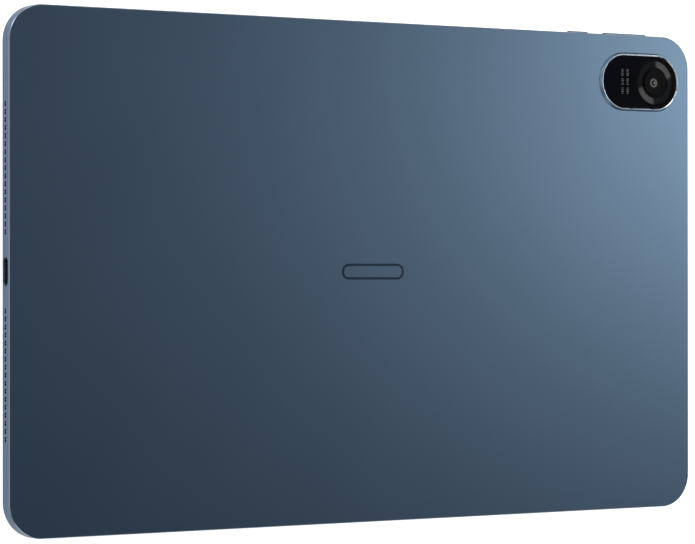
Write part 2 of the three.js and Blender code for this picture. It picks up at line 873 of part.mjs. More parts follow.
function usbTongue() {
  const back = -portRecess - portDepth + portWall + fitGap;
  const inset = portWall + fitGap;
  const base = slab(
    portHeight,
    portLength,
    portHeight / 2,
    [
      [back, inset],
      [back + tongueBase, inset],
    ],
    6,
  );
  const tongue = slab(
    tongueThickness,
    tongueLength,
    tongueTaper,
    [
      [back + tongueBase - weld, 0],
      [back + tongueBase + tongueReach - tongueTaper, 0],
      [back + tongueBase + tongueReach, tongueTaper],
    ],
    2,
  );
  return joined(base, tongue);
}

addOnShortWall("usb_tongue", usbTongue(), blackPlastic, -1, 0, portLevel);

// A board with clearance holes for its screws.
function boardWithHoles(plan, screws) {
  const end = boardThickness + cutPast;
  const holes = screws.map(([x, y]) =>
    disc(screwRadius + slideGap, -cutPast, end).translate(x, y, 0),
  );
  return cut(plan, ...holes);
}

const usbNotch = -halfLength + portRecess + portDepth + pieceGap;
const notchHalf = portLength / 2 + pieceGap;
const usbPlan = strip(
  [
    [usbBoard.right, -usbBoardReach],
    [usbBoard.right, usbBoardReach],
    [usbBoard.left, usbBoardReach],
    [usbBoard.left, notchHalf],
    [usbNotch, notchHalf],
    [usbNotch, -notchHalf],
    [usbBoard.left, -notchHalf],
    [usbBoard.left, -usbBoardReach],
  ],
  0,
  boardThickness,
);
add("usb_board", boardWithHoles(usbPlan, usbScrews), boardGreen, 0, 0, boardLevel);

const mainPlan = boxBetween(
  [mainBoard.left, mainBoard.bottom, 0],
  [mainBoard.right, mainBoard.top, boardThickness],
);
add("main_board", boardWithHoles(mainPlan, mainScrews), boardGreen, 0, 0, boardLevel);

// Open-backed shielding cans stand on the front side of the main board.
const shieldLevel = boardLevel - fitGap;
const shieldHeight = shieldLevel - ledgeLevel - shieldClearance;
const shieldX = (mainBoard.left + mainBoard.right) / 2;
const shieldLength = mainBoardLength - 2 * shieldMargin;
const shieldWidth = mainTop - shieldMargin - shieldSpacing;

function shieldCan(length, width) {
  const can = slab(length, width, shieldCorner, [
    [-shieldHeight, shieldEdge],
    [-shieldHeight + shieldEdge, 0],
    [0, 0],
  ]);
  const inside = slab(length, width, shieldCorner, [
    [-shieldHeight + shieldWall, shieldWall],
    [cutPast, shieldWall],
  ]);
  return cut(can, inside);
}

for (const [name, side] of [
  ["processor_shield", 1],
  ["memory_shield", -1],
]) {
  const y = (side * (shieldWidth + shieldSpacing)) / 2;
  add(name, shieldCan(shieldLength, shieldWidth), steel, shieldX, y, shieldLevel);
}

// A pan-head screw, head at the bottom, with a cross recess.
function screw() {
  const headLevel = -boardThickness - fitGap - screwHeadHeight;
  const head = disc(screwHeadRadius, headLevel, headLevel + screwHeadHeight, 10);
  const shank = disc(screwRadius, headLevel + weld, screwBite, 8);
  const arm = screwHeadRadius - screwSlot;
  const half = screwSlot / 2;
  const floor = headLevel + screwHeadHeight / 2;
  const slotAlong = boxBetween([-arm, -half, headLevel - cutPast], [arm, half, floor]);
  const slotAcross = boxBetween([-half, -arm, headLevel - cutPast], [half, arm, floor]);
  return cut(joined(head, shank), slotAlong, slotAcross);
}

mainScrews.forEach(([x, y], i) => add(`main_board_screw_${i + 1}`, screw(), steel, x, y, boardTop));
usbScrews.forEach(([x, y], i) => add(`usb_board_screw_${i + 1}`, screw(), steel, x, y, boardTop));

// --- Battery ---

const cellLevel = bayFloor - layerGap - cellThickness;
const cellShape = () =>
  slab(cellLength, cellWidth, cellCorner, [
    [0, cellEdge],
    [cellEdge, 0],
    [cellThickness - cellEdge, 0],
    [cellThickness, cellEdge],
  ]);
for (const [name, side] of [
  ["battery_cell_left", -1],
  ["battery_cell_right", 1],
]) {
  add(name, cellShape(), cellFoil, cellsX + (side * cellSpacing) / 2, 0, cellLevel);
}

const batteryBoard = boxBetween(
  [-batteryBoardLength / 2, 0, -batteryBoardThickness],
  [batteryBoardLength / 2, batteryBoardWidth, 0],
);
const batteryBoardY = cellWidth / 2 + pieceGap;
add("battery_board", batteryBoard, boardGreen, cellsX, batteryBoardY, bayFloor - layerGap);

// The long flex between the two boards runs round the battery.
const laneRight = laneLeft + laneWidth;
const laneTop = -cellWidth / 2 - laneMargin;
const laneBottom = laneTop - laneWidth;
const boardFlex = strip(
  [
    [laneLeft, -usbBoardReach + boardLap],
    [laneLeft, laneBottom],
    [mainBoard.left + boardLap + laneWidth, laneBottom],
    [mainBoard.left + boardLap + laneWidth, laneTop + boardLap],
    [mainBoard.left + boardLap, laneTop + boardLap],
    [mainBoard.left + boardLap, laneTop],
    [laneRight, laneTop],
    [laneRight, -usbBoardReach + boardLap],
  ],
  0,
  flexThickness,
);
add("board_flex", boardFlex, copperFlex, 0, 0, boardLevel - fitGap - flexThickness);

// --- Speakers ---

// A box with two drivers, its sound slot facing the holes. Built for the right-hand wall.
function speakerBox() {
  const levels = straight(0, bayFloor - slideGap - speakerLevel);
  const body = slab(speakerBoxWidth, speakerBoxLength, speakerBoxCorner, levels, 3);
  const reach = grilleLength / 2 - grilleEdge;
  const slot = boxBetween(
    [speakerBoxWidth / 2 - speakerSlotDepth, -reach, -speakerSlotHeight / 2],
    [speakerBoxWidth / 2 + cutPast, reach, speakerSlotHeight / 2],
  ).translate(0, 0, portLevel - speakerLevel);
  const wellTop = driverThickness + fitGap;
  const wells = driverPlaces.map((y) =>
    disc(driverFit + slideGap, -cutPast, wellTop, driverSides).translate(-driverOffset, y, 0),
  );
  return cut(body, slot, ...wells);
}

// A round driver with its cone sunk into the front face.
function speakerDriver() {
  const coneDepth = driverThickness - driverFloor;
  return cut(
    disc(driverFit, 0, driverThickness, driverSides),
    disc(driverFit - driverRim, -cutPast, coneDepth, lightSides),
  );
}

// Dust mesh behind one group of holes, down to the speaker box's front face.
function gauze() {
  const low = [-meshThickness / 2, -grilleLength / 2, speakerLevel - portLevel];
  return boxBetween(
    low,
    low.map((edge) => -edge),
  );
}

const driverX = speakerX - driverOffset;
for (const [sideName, side] of [
  ["left", -1],
  ["right", 1],
]) {
  for (const [rowName, row] of [
    ["upper", 1],
    ["lower", -1],
  ]) {
    const label = sideName + "_" + rowName;
    const y = row * grilleOffset;
    const box = add("speaker_box_" + label, speakerBox(), blackPlastic, side * speakerX, y);
    box.position.z = speakerLevel;
    box.rotation.z = side < 0 ? Math.PI : 0;
    add("speaker_mesh_" + label, gauze(), meshWire, side * meshX, y, portLevel);
    driverPlaces.forEach((offset, i) => {
      const name = `speaker_driver_${label}_${i + 1}`;
      add(name, speakerDriver(), steel, side * driverX, y + side * offset, speakerLevel);
    });
  }
}

// --- Antennas, on plastic carriers along the lower long wall ---

const antennaX = displayFlexX - displayFlexWidth / 2 - antennaGap - antennaLength / 2;
const antennaY = -halfWidth + innerWall + slideGap + antennaWidth / 2;

// A carrier with a hollow underside.
function antenna() {
  const reach = antennaLength / 2;
  const half = antennaWidth / 2;
  const carrier = boxBetween(
    [-reach, -half, ledgeLevel + slideGap],
    [reach, half, bayFloor - pieceGap],
  );
  const hollow = boxBetween(
    [-reach + antennaWall, -half + antennaWall, ledgeLevel - cutPast],
    [reach - antennaWall, half - antennaWall, bayFloor - pieceGap - antennaWall],
  );
  return cut(carrier, hollow);
}

add("antenna_left", antenna(), blackPlastic, -antennaX, antennaY);
add("antenna_right", antenna(), blackPlastic, antennaX, antennaY);

export default tablet;
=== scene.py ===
import math

import bmesh
import bpy
from mathutils import Matrix, Vector


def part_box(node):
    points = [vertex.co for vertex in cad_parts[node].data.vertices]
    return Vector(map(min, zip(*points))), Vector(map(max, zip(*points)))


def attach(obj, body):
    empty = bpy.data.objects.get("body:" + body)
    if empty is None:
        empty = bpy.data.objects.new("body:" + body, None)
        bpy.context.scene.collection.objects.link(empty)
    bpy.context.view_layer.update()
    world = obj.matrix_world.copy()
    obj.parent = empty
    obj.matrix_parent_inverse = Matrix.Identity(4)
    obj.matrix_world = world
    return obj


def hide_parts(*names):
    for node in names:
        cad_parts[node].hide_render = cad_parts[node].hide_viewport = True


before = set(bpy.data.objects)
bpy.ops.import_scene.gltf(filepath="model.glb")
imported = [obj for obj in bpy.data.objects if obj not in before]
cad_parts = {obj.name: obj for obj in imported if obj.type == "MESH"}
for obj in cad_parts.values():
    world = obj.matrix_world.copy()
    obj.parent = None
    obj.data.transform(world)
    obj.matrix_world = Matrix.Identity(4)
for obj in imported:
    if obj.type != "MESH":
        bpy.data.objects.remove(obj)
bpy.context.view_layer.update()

mm = 0.001  # the sizes below are in millimetres
fit = 0.05  # between pieces that rest on each other
past = 1.0  # how far a cutter runs past what it cuts
scene = bpy.context.scene

body = {
    "length": 278.54,
    "width": 174.06,
    "thickness": 6.9,
    "corner": 12.0,
    "cornerSteps": 40,
}
halfLength = body["length"] / 2
halfWidth = body["width"] / 2
lensAxis = {"x": 123.25, "y": 69.85}  # upright, through the camera


class Wire:
    # One output socket that can take part in sums.
    def __init__(self, graph, socket):
        self.graph = graph
        self.socket = socket

    def sum(self, operation, *values):
        settings = {"operation": operation}
        if all(v.socket.type == "VALUE" for v in values if isinstance(v, Wire)):
            return self.graph.node("ShaderNodeMath", settings, dict(enumerate(values)))
        wide = [v if isinstance(v, (Wire, tuple)) else (v, v, v) for v in values]
        return self.graph.node("ShaderNodeVectorMath", settings, dict(enumerate(wide)))

    def __add__(self, other):
        return self.sum("ADD", self, other)

    def __radd__(self, other):
        return self.sum("ADD", other, self)

    def __sub__(self, other):
        return self.sum("SUBTRACT", self, other)

    def __rsub__(self, other):
        return self.sum("SUBTRACT", other, self)

    def __mul__(self, other):
        return self.sum("MULTIPLY", self, other)

    def __rmul__(self, other):
        return self.sum("MULTIPLY", other, self)

    def __truediv__(self, other):
        return self.sum("DIVIDE", self, other)

    def __pow__(self, other):
        return self.sum("POWER", self, other)

    def __abs__(self):
        return self.sum("ABSOLUTE", self)


class Graph:
    # The node tree of one material.
    def __init__(self, name):
        self.material = bpy.data.materials.new(name)
        self.material.use_nodes = True
        self.tree = self.material.node_tree
        self.tree.nodes.clear()
        self.place = self.node("ShaderNodeTexCoord", output="Object")
        self.x, self.y, self.z = self.parts(self.place / mm)

    def node(self, kind, settings=None, sockets=None, output=0):
        made = self.tree.nodes.new(kind)
        for name, value in (settings or {}).items():
            setattr(made, name, value)
        for name, value in (sockets or {}).items():
            if isinstance(value, Wire):
                self.tree.links.new(value.socket, made.inputs[name])
            else:
                made.inputs[name].default_value = value
        if made.outputs:
            return Wire(self, made.outputs[output])

    def parts(self, vector):
        first = self.node("ShaderNodeSeparateXYZ", sockets={0: vector})
        return [Wire(self, socket) for socket in first.socket.node.outputs]

    def noise(self, grain, detail=2.0, stretch=(1.0, 1.0, 1.0)):
        # Noise from 0 to 1 whose blotches are about grain across.
        sockets = {"Vector": self.place * stretch, "Scale": 1 / (grain * mm), "Detail": detail}
        return self.node("ShaderNodeTexNoise", sockets=sockets)

    def cells(self, grain, feature="F1"):
        sockets = {"Vector": self.place, "Scale": 1 / (grain * mm)}
        return self.node("ShaderNodeTexVoronoi", {"feature": feature}, sockets)

    def fade(self, value, low, high, start=0.0, end=1.0):
        # start up to low, end from high, and a smooth change between them.
        sockets = {"Value": value, "From Min": low, "From Max": high, "To Min": start, "To Max": end}
        return self.node("ShaderNodeMapRange", {"interpolation_type": "SMOOTHSTEP"}, sockets)

    def mix(self, share, first, second):
        sockets = {0: share, 6: first, 7: second}
        return self.node("ShaderNodeMix", {"data_type": "RGBA"}, sockets, 2)

    def bump(self, height, depth, strength=1.0):
        sockets = {"Height": height, "Strength": strength, "Distance": depth * mm}
        return self.node("ShaderNodeBump", sockets=sockets)

    def finish(self, sockets):
        shader = self.node("ShaderNodeBsdfPrincipled", sockets=sockets)
        self.node("ShaderNodeOutputMaterial", sockets={"Surface": shader})
        return self.material


def tone(red, green, blue):
    return (red, green, blue, 1.0)


# Finishes

anodised = {
    "colour": tone(0.065, 0.107, 0.172),
    "paler": tone(0.071, 0.114, 0.182),
    "roughness": 0.50,
    "beadGrain": 0.12,
    "beadDepth": 0.010,
    "seal": 0.14,  # the clear oxide layer over the dye
    "sealRoughness": 0.36,
}


def anodisedMetal():
    graph = Graph("anodised_blue")
    cloud = graph.noise(38.0, 3.0)
    bead = graph.noise(anodised["beadGrain"], 3.0)
    rough = anodised["roughness"] + (cloud - 0.5) * 0.05 + (bead - 0.5) * 0.08
    return graph.finish({
        "Base Color": graph.mix(cloud * 0.6 + bead * 0.4, anodised["colour"], anodised["paler"]),
        "Metallic": 1.0,
        "Roughness": rough,
        "Normal": graph.bump(bead, anodised["beadDepth"], 0.5),
        "Coat Weight": anodised["seal"],
        "Coat Roughness": anodised["sealRoughness"],
    })


cutEdge = {"colour": tone(0.2, 0.235, 0.29), "roughness": 0.3}


def cutEdgeMetal():
    graph = Graph("cut_edge")
    streak = graph.noise(0.6, 2.0)
    return graph.finish({
        "Base Color": cutEdge["colour"],
        "Metallic": 1.0,
        "Roughness": cutEdge["roughness"] + (streak - 0.5) * 0.1,
    })


polished = {"colour": tone(0.62, 0.69, 0.79), "roughness": 0.28}


def polishedMetal(name, colour, roughness):
    graph = Graph(name)
    streak = graph.noise(0.5, 2.0, (0.15, 0.15, 1.0))
    return graph.finish({
        "Base Color": colour,
        "Metallic": 1.0,
        "Roughness": roughness + (streak - 0.5) * 0.12,
        "Normal": graph.bump(streak, 0.004, 0.3),
    })


screenGlass = {
    "colour": tone(0.006, 0.007, 0.009),
    "border": tone(0.002, 0.002, 0.003),
    "circle": tone(0.012, 0.013, 0.018),
    "margin": 7.0,
    "cameraY": 82.23,
    "cameraRadius": 1.3,
}


def screenGlassLook():
    graph = Graph("screen_glass")
    shown = 1.0
    for axis, half in ((graph.x, halfLength), (graph.y, halfWidth)):
        edge = half - screenGlass["margin"]
        shown = graph.fade(abs(axis), edge - 0.05, edge + 0.05, 1.0, 0.0) * shown
    # A pale circle in the border round the front camera.
    up = graph.y - screenGlass["cameraY"]
    reach = (graph.x * graph.x + up * up) ** 0.5
    radius = screenGlass["cameraRadius"]
    circle = graph.fade(abs(reach - radius), 0.1, 0.2, 1.0, 0.0)
    plain = graph.mix(shown, screenGlass["border"], screenGlass["colour"])
    dust = graph.noise(6.0, 4.0)
    return graph.finish({
        "Base Color": graph.mix(circle, plain, screenGlass["circle"]),
        "Roughness": 0.04 + dust * 0.03,
        "IOR": 1.5,
        "Coat Weight": 0.4,
        "Coat Roughness": 0.03,
    })


islandGlass = {
    "colour": tone(0.0012, 0.0016, 0.0022),
    "window": 8.0,  # radius of the clear part in the ink under the glass
    "slack": 0.9,  # the upper face is clear this much further out
    "tint": 0.25,
    "inkLevel": 7.5,
}


def fromLens(graph):
    # Distance from the lens's axis.
    across = graph.x - lensAxis["x"]
    along = graph.y - lensAxis["y"]
    return (across * across + along * along) ** 0.5


def islandGlassLook():
    graph = Graph("camera_glass")
    upper = graph.fade(graph.z, islandGlass["inkLevel"] - 0.1, islandGlass["inkLevel"] + 0.1)
    reach = fromLens(graph) - upper * islandGlass["slack"]
    edge = islandGlass["window"]
    ink = graph.fade(reach, edge - 0.04, edge + 0.04)
    clear = upper * islandGlass["tint"]
    dust = graph.noise(3.0, 4.0)
    return graph.finish({
        "Base Color": islandGlass["colour"],
        "Roughness": 0.03 + dust * 0.04,
        "IOR": 1.52,
        "Alpha": clear + (1 - clear) * ink,
    })


turnedTrim = {
    "dark": tone(0.0016, 0.0021, 0.0027),
    # colour of the two painted highlight sectors
    "paintedHighlight": tone(0.034, 0.034, 0.037),
    "middle": 51.0,  # direction of one painted highlight sector; the other faces it
    "halfWidth": 35.0,
    "fadeOut": 0.15,  # on the cosine that marks the painted highlight sectors, outside and inside their edge
    "fadeIn": 0.25,
}


def trimMetal():
    # Fine turned lines, with two paler sectors in the colour that are a painted highlight.
    graph = Graph("turned_trim")
    sockets = {"W": fromLens(graph), "Scale": 9.0}
    line = graph.node("ShaderNodeTexNoise", {"noise_dimensions": "1D"}, sockets)
    settings = {"operation": "ARCTAN2"}
    sockets = {0: graph.y - lensAxis["y"], 1: graph.x - lensAxis["x"]}
    angle = graph.node("ShaderNodeMath", settings, sockets)
    # The painted highlight sectors face each other, so one cosine of twice the angle marks both.
    twice = 2 * (angle - math.radians(turnedTrim["middle"]))
    wave = graph.node("ShaderNodeMath", {"operation": "COSINE"}, {0: twice})
    edge = math.cos(2 * math.radians(turnedTrim["halfWidth"]))
    # Mask of the painted highlight sectors.
    paintedHighlightMask = graph.fade(wave, edge - turnedTrim["fadeOut"], edge + turnedTrim["fadeIn"])
    share = paintedHighlightMask * (0.7 + 0.3 * line)
    return graph.finish({
        "Base Color": graph.mix(share, turnedTrim["dark"], turnedTrim["paintedHighlight"]),
        "Metallic": 1.0,
        "Roughness": 0.42 + (line - 0.5) * 0.1,
        "Normal": graph.bump(line, 0.004, 0.4),
    })


lensGlass = {
    "eye": tone(0.003, 0.003, 0.007),
    "rim": tone(0.004, 0.004, 0.005),
    "eyeEnd": 0.95,
    "rimStart": 1.15,
    "eyeRoughness": 0.05,
    "rimHaze": 0.6,
}


def lensGlassLook():
    # A glossy dark eye in a matt rim.
    graph = Graph("lens_glass")
    rim = graph.fade(fromLens(graph), lensGlass["eyeEnd"], lensGlass["rimStart"])
    haze = graph.noise(0.5, 3.0)
    share = rim * (0.75 + 0.25 * haze)
    return graph.finish({
        "Base Color": graph.mix(share, lensGlass["eye"], lensGlass["rim"]),
        "Roughness": lensGlass["eyeRoughness"] + rim * lensGlass["rimHaze"],
        "IOR": 1.9,
        "Coat Weight": 1 - rim,
        "Coat Roughness": 0.02,
    })


def plasticLook(name, colour, paler, roughness, gloss=0.5):
    graph = Graph(name)
    speck = graph.noise(0.25, 3.0)
    return graph.finish({
        "Base Color": graph.mix(speck, colour, paler),
        "Roughness": roughness + (speck - 0.5) * 0.12,
        "Specular IOR Level": gloss,
        "Normal": graph.bump(speck, 0.02, 0.4),
    })


def metalLook(name, colour, paler, roughness):
    graph = Graph(name)
    streak = graph.noise(0.4, 3.0, (0.05, 1.0, 1.0))
    return graph.finish({
        "Base Color": graph.mix(streak, colour, paler),
        "Metallic": 1.0,
        "Roughness": roughness + (streak - 0.5) * 0.15,
        "Normal": graph.bump(streak, 0.006, 0.4),
    })


def boardLook():
    graph = Graph("circuit_board")
    tracks = graph.cells(2.6, "DISTANCE_TO_EDGE")
    line = graph.fade(tracks, 0.03, 0.06, 1.0, 0.0)
    dots = graph.fade(graph.cells(1.3), 0.16, 0.2, 1.0, 0.0)
    mask = graph.mix(line * 0.5, tone(0.010, 0.045, 0.028), tone(0.025, 0.10, 0.06))
    return graph.finish({
        "Base Color": graph.mix(dots, mask, tone(0.55, 0.36, 0.14)),
        "Metallic": dots * 0.9,
        "Roughness": 0.45 - dots * 0.15,
        "Normal": graph.bump(line + dots, 0.03, 0.5),
    })


def foilLook():
    graph = Graph("cell_foil")
    crease = graph.noise(7.0, 4.0)
    fine = graph.noise(0.35, 2.0)
    return graph.finish({
        "Base Color": graph.mix(crease, tone(0.014, 0.015, 0.017), tone(0.028, 0.029, 0.032)),
        "Roughness": 0.42 + (fine - 0.5) * 0.2,
        "Metallic": 0.25,
        "Normal": graph.bump(crease * 3.0 + fine * 0.1, 0.2, 0.4),
    })


def flexLook():
    graph = Graph("flex_film")
    wave = graph.node("ShaderNodeMath", {"operation": "SINE"}, {0: (graph.x + graph.y) * 12.0})
    track = graph.fade(wave, 0.1, 0.5)
    return graph.finish({
        "Base Color": graph.mix(track, tone(0.22, 0.075, 0.018), tone(0.42, 0.17, 0.045)),
        "Roughness": 0.38 + track * 0.08,
        "Metallic": track * 0.4,
        "Normal": graph.bump(track, 0.03, 0.5),
    })


def gauzeLook():
    graph = Graph("woven_gauze")
    pitch = 2 * math.pi / 0.22
    threads = 1.0
    for axis in (graph.y, graph.z):
        wave = graph.node("ShaderNodeMath", {"operation": "SINE"}, {0: axis * pitch})
        threads = threads * graph.fade(wave, -0.2, 0.4, 0.15, 1.0)
    return graph.finish({
        "Base Color": graph.mix(threads, tone(0.030, 0.031, 0.034), tone(0.004, 0.004, 0.005)),
        "Metallic": 0.5,
        "Roughness": 0.65 - threads * 0.1,
        "Normal": graph.bump(threads, 0.05, 0.8),
    })


finishes = {
    "anodised_metal": anodisedMetal(),
    "cutEdge": cutEdgeMetal(),
    # Darker metal as painted shade, on the cover's lower rounding and the ring's outer wall.
    "rimShade": polishedMetal("painted_rim_shade", tone(0.035, 0.06, 0.09), 0.5),
    # Near-black as painted shade inside the speaker holes.
    "paintedHoleShade": plasticLook("painted_hole_shade", tone(0.001, 0.002, 0.003), tone(0.002, 0.003, 0.005), 0.8, 0.1),
    "polished_metal": polishedMetal("polished_rim", polished["colour"], polished["roughness"]),
    "ringMetal": polishedMetal("ring_satin", tone(0.19, 0.27, 0.35), 0.36),
    "black_glass": islandGlassLook(),
    "screenGlass": screenGlassLook(),
    "lens_glass": lensGlassLook(),
    "trim_metal": trimMetal(),
    "emblem_ink": metalLook("emblem_film", tone(0.026, 0.044, 0.08), tone(0.04, 0.06, 0.1), 0.34),
    "black_plastic": plasticLook("moulded_black", tone(0.012, 0.012, 0.013), tone(0.02, 0.02, 0.021), 0.45),
    # Near-black: the camera barrel's baffle and the socket's tongue, and painted shade on the inside of the
    # island ring.
    "baffleBlack": plasticLook("baffle", tone(0.001, 0.0012, 0.0016), tone(0.002, 0.002, 0.003), 0.8, 0.12),
    "display_layer": plasticLook("panel", tone(0.02, 0.022, 0.026), tone(0.03, 0.032, 0.037), 0.2),
    "light_guide": plasticLook("guide_film", tone(0.72, 0.74, 0.75), tone(0.8, 0.81, 0.82), 0.3),
    "plate_metal": metalLook("rolled_plate", tone(0.62, 0.63, 0.65), tone(0.72, 0.73, 0.74), 0.4),
    "steel": metalLook("stamped_steel", tone(0.48, 0.48, 0.47), tone(0.6, 0.6, 0.59), 0.32),
    # Steel darkened to near black as painted shade inside the socket.
    "portSteelPaintedShade": metalLook("port_steel_painted_shade", tone(0.022, 0.034, 0.042), tone(0.034, 0.05, 0.06), 0.4),
    "circuit_board": boardLook(),
    "cell_foil": foilLook(),
    "flex_film": flexLook(),
    "mesh_wire": gauzeLook(),
    "contactGold": metalLook("contact_gold", tone(0.75, 0.52, 0.2), tone(0.85, 0.62, 0.28), 0.25),
    "markInk": plasticLook("mark_ink", tone(0.02, 0.021, 0.023), tone(0.034, 0.036, 0.039), 0.5),
}
print("finishes:", len(finishes))

# Mesh helpers

leastRadius = 0.02  # of a corner that an inset has used up
weld = 0.0004
sliver = 0.0002


def loop(length, width, corner, z, inset=0.0, steps=None):
    # Points round a rounded rectangle at one level, always the same number of them.
    steps = steps or body["cornerSteps"]
    halfX = length / 2 - inset
    halfY = width / 2 - inset
    radius = max(min(corner - inset, halfX, halfY), leastRadius)
    points = []
    for quarter, (sideX, sideY) in enumerate(((1, 1), (-1, 1), (-1, -1), (1, -1))):
        for i in range(steps + 1):
            angle = (quarter + i / steps) * math.pi / 2
            x = sideX * (halfX - radius) + radius * math.cos(angle)
            y = sideY * (halfY - radius) + radius * math.sin(angle)
            points.append(Vector((x, y, z)))
    return points


def bodyLoops(levels):
    # levels are (z, inset) pairs on the tablet's own outline.
    return [loop(body["length"], body["width"], body["corner"], z, inset) for z, inset in levels]


def pillLoops(span, levels, steps=24):
    # levels are (radius, z) pairs round a line of length span along X.
    return [loop(span + 2 * r, 2 * r, r, z, 0.0, steps) for r, z in levels]


def rounding(start, end, steps):
    # Points of a quarter round between two corners of a section, start and end included.
    # It leaves start along the second value and reaches end along the first.
    (a0, b0), (a1, b1) = start, end
    points = []
    for i in range(steps + 1):
        angle = i / steps * math.pi / 2
        points.append((a0 + (a1 - a0) * (1 - math.cos(angle)), b0 + (b1 - b0) * math.sin(angle)))
    return points


def skin(bm, loops, closed=False, looks=None, turn=None):
    # Quads between neighbouring loops, capped at both ends unless the loops close on themselves.
    # looks gives the place in the piece's finishes of each band, or is left out for the first.
    turn = turn or Matrix.Identity(4)
    rows = [[bm.verts.new(turn @ point) for point in points] for points in loops]
    pairs = list(zip(rows, rows[1:]))
    if closed:
        pairs.append((rows[-1], rows[0]))
    for i, (first, second) in enumerate(pairs):
        for a, b, c, d in zip(first, first[1:] + first[:1], second[1:] + second[:1], second):
            face = bm.faces.new((a, b, c, d))
            face.material_index = looks[i] if looks else 0
    if not closed:
        bm.faces.new(rows[0][::-1])
        bm.faces.new(rows[-1])


def tidied(bm):
    # Drops doubled points and slivers, turns the faces outwards and goes from millimetres to metres.
    bmesh.ops.remove_doubles(bm, verts=bm.verts[:], dist=weld)
    bmesh.ops.dissolve_degenerate(bm, edges=bm.edges[:], dist=sliver)
    bmesh.ops.recalc_face_normals(bm, faces=bm.faces[:])
    bmesh.ops.scale(bm, vec=(mm, mm, mm), verts=bm.verts[:])
    return bm


def meshObject(name, bm, looks=()):
    mesh = bpy.data.meshes.new(name)
    tidied(bm).to_mesh(mesh)
    bm.free()
    for look in looks:
        mesh.materials.append(finishes[look])
    made = bpy.data.objects.new(name, mesh)
    scene.collection.objects.link(made)
    return made


def applied(piece):
    # Bakes a piece's modifiers into its mesh.
    bpy.context.view_layer.update()
    seen = piece.evaluated_get(bpy.context.evaluated_depsgraph_get())
    baked = bpy.data.meshes.new_from_object(seen)
    piece.modifiers.clear()
    piece.data = baked


def addPiece(name, bm, bodyName, slotName, looks=None, replaces=(), cutter=None, sharp=30):
    piece = meshObject(name, bm, looks or [slotName])
    if cutter:
        tool = meshObject(name + "_tool", cutter, looks or [slotName])
        boolean = piece.modifiers.new("cut", "BOOLEAN")
        boolean.operation = "DIFFERENCE"
        boolean.solver = "EXACT"
        boolean.object = tool
        applied(piece)
        bpy.data.objects.remove(tool)
    piece.data.shade_smooth()
    piece.data.set_sharp_from_angle(angle=math.radians(sharp))
    normals = piece.modifiers.new("even shading", "WEIGHTED_NORMAL")
    normals.keep_sharp = True
    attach(piece, bodyName)
    if replaces:
        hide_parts(*replaces)


def ontoTopWall(x, z):
    # Turns a shape built along +Z so that it points out of the long wall with the keys.
    return Matrix.Translation((x, halfWidth, z)) @ Matrix.Rotation(-math.pi / 2, 4, "X")


def ontoShortWall(side, y, z):
    return Matrix.Translation((side * halfLength, y, z)) @ Matrix.Rotation(side * math.pi / 2, 4, "Y")


# Rear cover

cover = {
    "rimWall": 1.4,
    "innerWall": 2.2,
    "ledgeLevel": 3.0,
    "rimLevel": 1.2,
    "rimRound": 1.1,
    "bayFloor": 6.0,
    "chamfer": 0.3,
    "edgeBreak": 0.04,
    "portLevel": 4.15,
}
grille = {
    "pitch": 2.6,
    "pairs": 17,
    "middle": 33.6,
    "radius": 0.35,
    "stretch": 0.3,
    "countersink": 0.06,
}
keys = {
    # Middle along the wall, length, and where its feet stand from the middle.
    "power": (90.0, 9.0, [0.0]),
    "volume": (111.2, 19.4, [-6.5, 6.5]),
    "level": 4.3,
    "height": 2.0,
    "proud": 0.6,
    "edge": 0.2,
    "gap": 0.15,
    "flangeMargin": 0.2,
    "shoulder": 1.2,
    "flangeGap": 0.3,
    "flange": 0.4,
    "foot": 0.2,
    "footRadius": 0.8,
    "lipBreak": 0.08,
}
port = {
    "length": 8.94,
    "height": 3.16,
    "wall": 0.3,
    "depth": 7.3,
    "recess": 0.4,
    "gap": 0.15,
    "mouthChamfer": 0.18,
    "edgeBreak": 0.08,
}
microphone = {"x": 70.0, "radius": 0.4}
island = {
    "x": 116.0,
    "y": lensAxis["y"],
    "span": 14.5,
    "hole": 10.45,
    "radius": 10.7,
    "top": 8.1,
    "lip": 1.0,
    "slopeRun": 0.55,
    "slopeDrop": 0.85,
    "crestRun": 0.06,  # either side of the slope's upper end
    "crestDrop": 0.1,
    "innerRun": 0.28,  # the bevel inside the crest
    "innerDrop": 0.16,
    "innerBreak": 0.04,
    "seat": 8.8,
    "skirt": 10.3,
    "skirtEnd": 5.6,
    "seatLevel": 7.1,
    "glassTop": 7.95,
    "glassRadius": 9.65,
    "glassRound": 0.1,
}
emblem = {
    "length": 25.5,
    "height": 5.5,
    "stroke": 0.8,
    "depth": 0.15,
    "thickness": 0.12,
    "edgeBreak": 0.03,
}
screws = {
    "names": [f"main_board_screw_{i}" for i in (1, 2, 3, 4)] + [f"usb_board_screw_{i}" for i in (1, 2)],
    "bossRadius": 1.5,
    "bossHeight": 0.8,
    "bossBreak": 0.1,
    "holeRadius": 0.75,
    "holeEnd": 6.4,
}


def screwPlaces():
    # A move to each screw's axis, in millimetres.
    for name in screws["names"]:
        start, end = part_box(name)
        middle = (start + end) / 2 / mm
        yield Matrix.Translation((middle.x, middle.y, 0.0))


